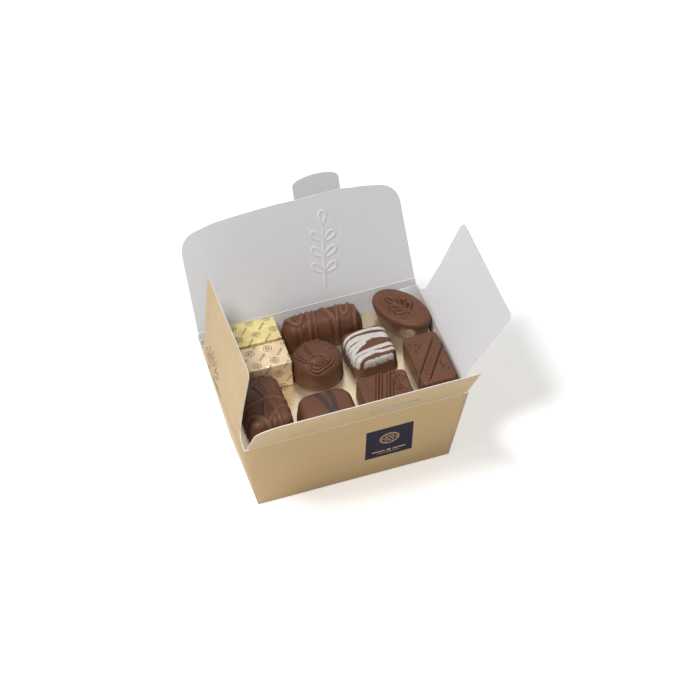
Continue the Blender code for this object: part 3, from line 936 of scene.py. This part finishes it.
class PRALINE_OT_foil_blocks(bpy.types.Operator):
    """Two blocks wrapped in printed foil"""
    bl_idname = "praline.foil_blocks"
    bl_label = "Foil blocks"

    def execute(self, context):
        look = settings("foils")
        for name, block_size, tilt, tone, slot, seed in (
                ("foil_block_rear", (26.5, 19.0, 17.2), -3.0, look.yellow, "yellow_foil", 3.0),
                ("foil_block_front", (26.5, 18.6, 17.4), 0.0, look.peach, "peach_foil", 8.0)):
            bm = moulded(block_size, 0.9, 0.8, 0.0)
            mesh = self.wrapped(name, bm, block_size, seed)
            seat(name + "_wrap", mesh, name, (tilt, -1.5), slot, [foil(name, tone)])
        return {"FINISHED"}

    def wrapped(self, name, bm, block_size, seed):
        """Crumples the foil into shallow facets and folds it over at the ends."""
        length, depth, height = block_size

        def relief(co, normals):
            facets = []
            for p in co:
                gaps = noise.voronoi(Vector(p) * 0.17 + Vector((seed, 0, 0)))[0]
                facets.append(min(1.0, (gaps[1] - gaps[0]) * 2.2))
            crumple = (np.array(facets) - 1) * settings("foils").crinkle
            half, middle = depth / 2, height / 2
            seams = [([(-half, height), (0, middle)], 0.35, 0.3),
                     ([(half, height), (0, middle)], 0.35, 0.3),
                     ([(-half, 0), (0, middle)], 0.35, 0.3), ([(half, 0), (0, middle)], 0.35, 0.3)]
            at_end = np.abs(normals[:, 0]) > 0.8
            return crumple + np.where(at_end, cords(co[:, 1:], seams), 0)

        mesh = shaped(name, bm, relief, uneven=0.2, seed=seed)
        co = np.array([v.co for v in mesh.vertices])
        core_x, core_y = length / 2 - 1.0, depth / 2 - 1.0
        out = co[:, :2] - np.column_stack([np.clip(co[:, 0], -core_x, core_x),
                                           np.clip(co[:, 1], -core_y, core_y)])
        out /= np.maximum(np.hypot(*out.T), 1e-6)[:, None]
        flat = co[:, :2] + out * np.clip(height - 0.8 - co[:, 2], 0, None)[:, None]
        layer = mesh.attributes.new("unfolded", "FLOAT_VECTOR", "POINT")
        values = np.column_stack([flat + seed * 3, np.zeros(len(flat))])
        layer.data.foreach_set("vector", values.astype(np.float32).ravel())
        return mesh


def milk():
    return bpy.data.materials.get("moulded_milk") or chocolate("moulded_milk")


def pressed(strokes, ditch=0.35):
    """Relief that lays strokes over the top of a praline, and down its sides."""
    gain = settings("chocolate").relief
    return lambda co, normals: gain * cords(co[:, :2], strokes, ditch)


class PRALINE_OT_log(bpy.types.Operator):
    """Enrobed log with folds winding over it"""
    bl_idname = "praline.log"
    bl_label = "Log"

    def execute(self, context):
        strokes = [
            ([(-19.5, 6.5), (-18.2, 2.0), (-15.5, -2.6), (-12.6, -3.0), (-10.6, 1.5), (-9.4, 9.0)],
             0.9, 0.9),
            ([(-7.6, 10.0), (-6.8, 1.0), (-8.6, -9.5)], 0.9, 0.7),
            ([(-4.6, 10.0), (-4.0, 2.0), (-5.2, -9.5)], 0.7, 0.5),
            ([(-1.0, 10.0), (2.4, 4.4), (5.6, -3.2), (6.6, -9.5)], 1.0, 0.9),
            ([(10.6, 10.0), (9.6, 2.0), (8.4, -4.0), (6.6, -9.5)], 0.8, 0.7),
            ([(12.6, 10.0), (11.6, -1.0), (13.2, -3.4), (16.0, 2.0), (17.4, 9.0)], 0.8, 0.7),
            ([(19.4, 8.0), (19.0, -1.0), (17.0, -9.5)], 0.8, 0.6),
            ([(-14.4, 10.0), (-13.2, 4.0), (-13.4, -9.5)], 0.8, 0.35),
        ]
        bm = moulded((45.5, 18.0, 17.8), 6.6, 6.4, 0.5, drop=10.5, crown=0.6)
        strokes = [(points, half, 0.62 * height) for points, half, height in strokes]
        mesh = shaped("log", bm, pressed(strokes, 0.45), uneven=0.35, seed=1.0)
        seat("log_chocolate", mesh, "praline_log", (0, -1.0), "milk_chocolate", [milk()])
        return {"FINISHED"}


class PRALINE_OT_dome(bpy.types.Operator):
    """Round praline with a cocoa pod and sprays on its crown"""
    bl_idname = "praline.dome"
    bl_label = "Dome"

    def execute(self, context):
        radius, height, shoulder = 14.2, 17.0, 8.0
        profile = [(0.0, 0.0), (radius - 0.6, 0.0), (radius - 0.2, 0.2), (radius, 0.7)]
        profile += [(radius - 0.2 * k / 8, 0.7 + (shoulder - 0.7) * k / 8) for k in range(1, 9)]
        rows = 70
        for i in range(1, rows):
            a = 90 * i / rows * DEG
            profile.append(((radius - 0.2) * math.cos(a) ** 0.8,
                            shoulder + (height - shoulder) * math.sin(a)))
        profile.append((0.0, height))
        strokes = [
            ([(-3.4, 7.6), (-4.4, 3.4), (-3.0, -1.6), (0.6, -5.0)], 0.34, 0.42),
            ([(-5.6, -5.0), (-2.0, -3.0), (2.6, -5.0), (3.0, -8.6), (-1.0, -9.4), (-4.8, -7.4),
              (-5.6, -5.0)], 0.34, 0.42),
            ([(-3.2, -5.8), (-0.6, -5.0), (1.4, -6.6), (-0.6, -7.6), (-3.0, -6.6)], 0.3, 0.25),
            ([(-10.4, 6.4), (-10.8, 0.8), (-8.0, -4.4), (-5.6, -6.0)], 0.34, 0.4),
            ([(-9.4, 4.6), (-8.8, 0.4), (-7.0, -2.4)], 0.3, 0.25),
            ([(-6.2, -6.6), (-5.6, -10.2), (-2.6, -12.2), (1.4, -11.6), (5.6, -9.8), (8.6, -6.4)],
             0.36, 0.45),
            ([(-4.0, -10.4), (-1.4, -11.2), (1.8, -10.4), (4.8, -8.4)], 0.3, 0.3),
            ([(-5.0, 8.4), (-3.6, 11.6), (-1.6, 12.4)], 0.3, 0.35),
            ([(-1.8, 8.8), (-0.6, 11.0), (1.8, 12.4)], 0.3, 0.35),
            ([(0.8, 8.0), (2.6, 9.8), (5.6, 10.6)], 0.3, 0.35),
            (scroll((7.6, 1.4), 2.4, 60, 1.1, 0.35, 8), 0.28, 0.3),
        ]
        mesh = shaped("dome", turned(profile, 300), pressed(strokes, 0.6), seed=2.0)
        seat("dome_chocolate", mesh, "praline_dome", (0, 0), "milk_chocolate", [milk()])
        return {"FINISHED"}


class PRALINE_OT_oval(bpy.types.Operator):
    """Oval medallion with a leafy sprig on its face"""
    bl_idname = "praline.oval"
    bl_label = "Oval"

    def execute(self, context):
        long_half, short_half, height = 19.2, 11.2, 13.0
        widest = height - 3.2
        outline = [(0.0, 0.0), (0.81, 0.0), (0.84, 0.12), (0.855, 0.5)]
        outline += [(0.855 + 0.145 * k / 12, 0.5 + (widest - 0.5) * k / 12) for k in range(1, 13)]
        for k in range(1, 17):
            a = 90 * k / 16 * DEG
            outline.append((0.9 + 0.1 * math.cos(a), widest + (height - widest) * math.sin(a)))
        rows = 44
        for k in range(1, rows + 1):
            share = 1 - k / rows
            rim = 0.45 * math.exp(-((share - 0.86) / 0.07) ** 2)
            outline.append((0.9 * share, height + rim * min(1.0, 8 * (1 - share))))
        bm = turned(outline, 340)
        bmesh.ops.scale(bm, vec=(long_half, short_half, 1), verts=bm.verts)
        bmesh.ops.rotate(bm, cent=(0, 0, 0), matrix=Matrix.Rotation(-60.5 * DEG, 3, "Z"),
                         verts=bm.verts)
        strokes = sprig((4.6, -8.2), 119.5, 13.0, 2, 6.4, 0.42, 0.75)
        mesh = shaped("oval", bm, pressed(strokes, 0.5), seed=3.0)
        seat("oval_chocolate", mesh, "praline_oval", (0, 0), "milk_chocolate", [milk()])
        return {"FINISHED"}


class PRALINE_OT_striped(bpy.types.Operator):
    """Rounded square with pale drizzle"""
    bl_idname = "praline.striped"
    bl_label = "Striped square"

    def execute(self, context):
        drizzle = [
            ([(-16, 3.4), (-11.8, 6.0), (-4.5, 8.8), (4.8, 9.0), (13.5, 6.2)], 0.8, 1.2),
            ([(-16, -1.6), (-11.0, 2.0), (-5.0, 4.4), (2.0, 4.0), (14.0, 1.4)], 1.5, 2.2),
            ([(-15, -4.2), (-9.5, -1.2), (-4.0, 1.2), (1.6, 2.4)], 1.3, 1.2),
            ([(-15, -8.2), (-10.4, -5.0), (-6.0, -2.0), (-2.0, 0.0)], 1.7, 0.7),
            ([(-15, -10.8), (-8.6, -7.4), (0.8, -5.8), (13.8, -5.4)], 1.0, 1.3),
            ([(-14, -13.4), (-8.0, -10.2), (0.0, -8.6), (6.0, -9.4), (14.0, -8.6)], 1.4, 0.8),
            ([(-13, -16.0), (-6.0, -13.0), (2.0, -12.6), (10.0, -12.4)], 0.6, 0.5),
        ]

        def paint(co):
            return bands(co[:, :2], drizzle) * np.clip((co[:, 2] - 4.5) / 5.0, 0, 1)

        def relief(co, normals):
            return 0.22 * paint(co)

        bm = moulded((26.2, 27.2, 12.8), 5.0, 3.2, 0.8, crown=0.4)
        mesh = shaped("striped", bm, relief, paint, seed=4.0)
        finish = chocolate("drizzled_chocolate", settings("chocolate").drizzle)
        seat("striped_chocolate", mesh, "praline_striped", (0, 3.0), "milk_chocolate", [finish])
        return {"FINISHED"}


class PRALINE_OT_barred(bpy.types.Operator):
    """Long bar with a slanting band of ticks between two grooves"""
    bl_idname = "praline.barred"
    bl_label = "Barred bar"

    def execute(self, context):
        slant = Vector((0.53, 0.848))
        strokes = []
        for side in (-1, 1):
            off = Vector((slant.y, -slant.x)) * 3.1 * side + Vector((0.9, -1.6))
            strokes.append(([tuple(off - slant * 17.5), tuple(off + slant * 16.0)], 0.42, -0.55))
        for k in range(-5, 6):
            middle = slant * k * 2.3 + Vector((0.9, -1.6))
            lean = Vector((slant.y, -slant.x)) * 1.3 + slant * 0.6
            strokes.append(([tuple(middle - lean), tuple(middle + lean)], 0.32, -0.3))
        strokes += [
            (scroll((-3.6, 10.2), 2.4, 200, 1.0, 0.4, 8), 0.3, -0.35),
            ([(-4.2, 8.0), (-5.6, 6.0), (-5.0, 4.0)], 0.3, -0.35),
            ([(-7.6, 15.0), (-7.0, 13.0), (-7.6, 11.0)], 0.3, -0.3),
            (scroll((6.4, -11.0), 2.4, 20, 1.0, 0.4, 8), 0.3, -0.35),
            ([(5.0, -4.6), (4.4, -7.0), (5.4, -8.8)], 0.3, -0.35),
        ]
        bm = moulded((20.0, 38.6, 12.4), 2.8, 1.6, 0.2, crown=0.15)
        mesh = shaped("barred", bm, pressed(strokes), seed=5.0)
        seat("barred_chocolate", mesh, "praline_barred", (0, 0), "milk_chocolate", [milk()])
        return {"FINISHED"}


class PRALINE_OT_grooved(bpy.types.Operator):
    """Rectangle with two pairs of ridges and small scrolls"""
    bl_idname = "praline.grooved"
    bl_label = "Grooved rectangle"

    def execute(self, context):
        strokes = []
        for x in (-4.4, -2.6, 1.8, 3.8):
            strokes.append(([(x + 3.8, 13.0), (x - 3.6, -12.6)], 0.42, 0.5))
        strokes += [
            ([(6.9, 7.8), (6.3, 4.4), (7.4, 0.8), (6.6, -2.6), (4.6, -5.0)], 0.42, 0.45),
            ([(5.2, 7.0), (4.9, 4.8), (5.8, 2.0)], 0.32, 0.3),
            (scroll((10.9, 5.6), 2.3, 120, 0.9, 0.5, 7), 0.34, 0.4),
            (scroll((9.6, -4.6), 2.2, 30, 0.9, 0.5, 7), 0.34, 0.4),
            (scroll((3.6, -7.6), 1.7, 150, 0.8, 0.6, 6), 0.3, 0.35),
        ]
        bm = moulded((29.4, 24.6, 12.0), 3.2, 1.9, 0.8, crown=0.15)
        mesh = shaped("grooved", bm, pressed(strokes, 0.6), seed=6.0)
        seat("grooved_chocolate", mesh, "praline_grooved", (0, -2.0), "milk_chocolate", [milk()])
        return {"FINISHED"}


class PRALINE_OT_two_stripe(bpy.types.Operator):
    """Rounded praline with two dark stripes that meet"""
    bl_idname = "praline.two_stripe"
    bl_label = "Two-striped praline"

    def execute(self, context):
        stripes = [
            ([(-6.0, 13.0), (-3.4, 8.4), (-1.0, 2.8), (0.6, -5.0), (1.2, -13.0)], 1.7, 1.3),
            ([(2.2, 13.0), (3.6, 7.4), (4.4, 1.0), (3.8, -5.0), (2.6, -13.0)], 1.5, 1.5),
        ]

        def paint(co):
            return bands(co[:, :2], stripes) * np.clip((co[:, 2] - 2.0) / 2.0, 0, 1)

        bm = moulded((32.0, 25.0, 12.0), 8.0, 4.4, 1.0, crown=0.6)
        mesh = shaped("two_stripe", bm, lambda co, normals: 0.12 * paint(co), paint, seed=7.0)
        finish = chocolate("dark_striped_chocolate", settings("chocolate").dark)
        seat("two_stripe_chocolate", mesh, "praline_two_stripe", (0, 0), "milk_chocolate",
             [finish])
        return {"FINISHED"}


class PRALINE_OT_netted(bpy.types.Operator):
    """Large piece with raised cords crossing over it"""
    bl_idname = "praline.netted"
    bl_label = "Netted bar"

    def execute(self, context):
        strokes = [
            ([(-13.0, 11.0), (-4.7, 12.1), (-1.3, 7.4), (0.7, 0.9), (3.4, -7.4), (5.0, -19.5)],
             0.8, 0.7),
            ([(-13.4, -3.0), (-9.0, -2.4), (-3.6, -1.9), (2.1, -0.6), (7.0, -1.2), (13.4, -4.0)],
             0.8, 0.65),
            ([(1.4, 19.0), (2.4, 12.0), (3.8, 4.9), (4.0, -2.6), (4.8, -10.0)], 0.7, 0.55),
            ([(-13.0, 4.6), (-4.2, 11.4), (1.2, 15.6), (6.9, 17.6), (12.0, 16.6)], 0.8, 0.65),
            ([(-13.4, -9.6), (-9.4, -10.2), (-4.5, -13.4), (-1.0, -19.0)], 0.9, 0.7),
            ([(0.6, -2.4), (-1.6, -7.0), (-2.6, -13.6)], 0.7, 0.5),
            ([(-2.0, -17.0), (3.6, -10.4), (8.4, -8.0), (13.4, -9.4)], 0.8, 0.65),
            ([(-0.4, 19.0), (-1.6, 15.4), (-4.2, 11.4)], 0.7, 0.5),
            ([(6.4, -8.6), (2.4, -13.0), (1.4, -18.6)], 0.7, 0.5),
        ]
        bm = moulded((26.2, 38.8, 16.2), 5.0, 3.8, 1.4, crown=2.0)
        strokes = [(points, half, 0.7 * height) for points, half, height in strokes]
        mesh = shaped("netted", bm, pressed(strokes, 0.3), seed=9.0, uneven=0.2)
        seat("netted_chocolate", mesh, "praline_netted", (0, 0), "milk_chocolate", [milk()])
        return {"FINISHED"}


# ---- stage ----
class CARTON_OT_stage(bpy.types.Operator):
    """Camera, lamps, floor and sky"""
    bl_idname = "carton.stage"
    bl_label = "Stage"

    def execute(self, context):
        look = settings("stage")
        scene = context.scene
        scene.view_settings.view_transform = "Standard"
        self.camera(scene, look)
        self.floor(look)
        aim = Vector(look.aim)
        self.lamp("key", (-0.55, -0.45, 1.6), aim, 0.45, look.key_power)
        self.lamp("fill", (-1.4, -0.2, 0.75), aim, 0.9, look.fill_power)
        self.sky(scene, look)
        return {"FINISHED"}

    def camera(self, scene, look):
        a, e = look.azimuth, look.elevation
        back = Vector((math.sin(a) * math.cos(e), -math.cos(a) * math.cos(e), math.sin(e)))
        turn = (-back).to_track_quat("-Z", "Y") @ Matrix.Rotation(look.roll, 3, "Z").to_quaternion()
        data = bpy.data.cameras.new("camera")
        data.lens = look.lens
        data.sensor_width = 36.0
        data.clip_end = 20.0
        camera = bpy.data.objects.new("camera", data)
        camera.location = Vector(look.aim) + back * look.distance
        camera.rotation_mode = "QUATERNION"
        camera.rotation_quaternion = turn
        scene.collection.objects.link(camera)
        scene.camera = camera

    def floor(self, look):
        bm = bmesh.new()
        bmesh.ops.create_grid(bm, x_segments=4, y_segments=4, size=4)
        bmesh.ops.translate(bm, vec=(0, 0, -0.0002), verts=bm.verts)
        mesh = bpy.data.meshes.new("floor")
        bm.to_mesh(mesh)
        bm.free()
        mat, shader, place = start_material("floor_paint")
        mottle = spread(mat, cloud(mat, place, 6.0), 0.3, 0.7)
        base = blend_of(mat, mottle, shade(look.floor, 0.99), shade(look.floor, 1.0))
        connect(mat, shader, {"Base Color": base, "Roughness": 0.9})
        strength = sum_of(mat, "MULTIPLY", seen_or_mirrored(mat), look.floor_glow)
        glow = node(mat, "Emission", {"Strength": strength})
        both = node(mat, "AddShader", {0: shader.outputs[0], 1: glow.outputs[0]})
        mat.node_tree.links.new(both.outputs[0],
                                mat.node_tree.nodes["Material Output"].inputs["Surface"])
        mesh.materials.append(mat)
        floor = bpy.data.objects.new("floor", mesh)
        bpy.context.collection.objects.link(floor)

    def lamp(self, name, place, aim, width, power):
        data = bpy.data.lights.new(name, "AREA")
        data.shape = "DISK"
        data.size = width
        data.energy = power
        lamp = bpy.data.objects.new(name, data)
        lamp.location = place
        lamp.rotation_mode = "QUATERNION"
        lamp.rotation_quaternion = (aim - Vector(place)).to_track_quat("-Z", "Y")
        bpy.context.scene.collection.objects.link(lamp)

    def sky(self, scene, look):
        """Even light, and a white sky wherever it is seen or mirrored."""
        world = bpy.data.worlds.new("sky")
        world.use_nodes = True
        scene.world = world
        light = world.node_tree.nodes["Background"]
        light.inputs["Strength"].default_value = look.sky
        light.inputs["Color"].default_value = (1, 1, 1, 1)
        white = node(world, "Background", {"Color": (1, 1, 1, 1)})
        shown = node(world, "MixShader", {0: seen_or_mirrored(world), 1: light.outputs[0],
                                          2: white.outputs[0]})
        world.node_tree.links.new(shown.outputs[0],
                                  world.node_tree.nodes["World Output"].inputs["Surface"])


# ---- panel and registration ----
OPERATORS = (
    CARTON_OT_tray, CARTON_OT_flaps, CARTON_OT_lid, CARTON_OT_folds, CARTON_OT_print,
    PRALINE_OT_pad, PRALINE_OT_foil_blocks, PRALINE_OT_log, PRALINE_OT_dome, PRALINE_OT_oval,
    PRALINE_OT_striped, PRALINE_OT_barred, PRALINE_OT_grooved, PRALINE_OT_two_stripe,
    PRALINE_OT_netted, CARTON_OT_stage,
)
SETTINGS = {"carton": CartonSettings, "chocolate": ChocolateSettings, "foils": FoilSettings,
            "stage": StageSettings}


class CARTON_PT_panel(bpy.types.Panel):
    """Lists the pieces of the carton"""
    bl_label = "Pralines"
    bl_idname = "CARTON_PT_panel"
    bl_space_type = "VIEW_3D"
    bl_region_type = "UI"
    bl_category = "Pralines"

    def draw(self, context):
        for operator in OPERATORS:
            self.layout.operator(operator.bl_idname)
        for name, group in SETTINGS.items():
            box = self.layout.box()
            box.label(text=name.capitalize())
            for setting in group.__annotations__:
                box.prop(getattr(context.scene, name), setting)


def register():
    for cls in (*SETTINGS.values(), *OPERATORS, CARTON_PT_panel):
        bpy.utils.register_class(cls)
    for name, group in SETTINGS.items():
        setattr(bpy.types.Scene, name, bpy.props.PointerProperty(type=group))


def unregister():
    for name in SETTINGS:
        delattr(bpy.types.Scene, name)
    for cls in (CARTON_PT_panel, *reversed(OPERATORS), *SETTINGS.values()):
        bpy.utils.unregister_class(cls)


def main():
    register()
    for operator in OPERATORS:
        family, name = operator.bl_idname.split(".")
        getattr(getattr(bpy.ops, family), name)()


if __name__ == "__main__":
    main()
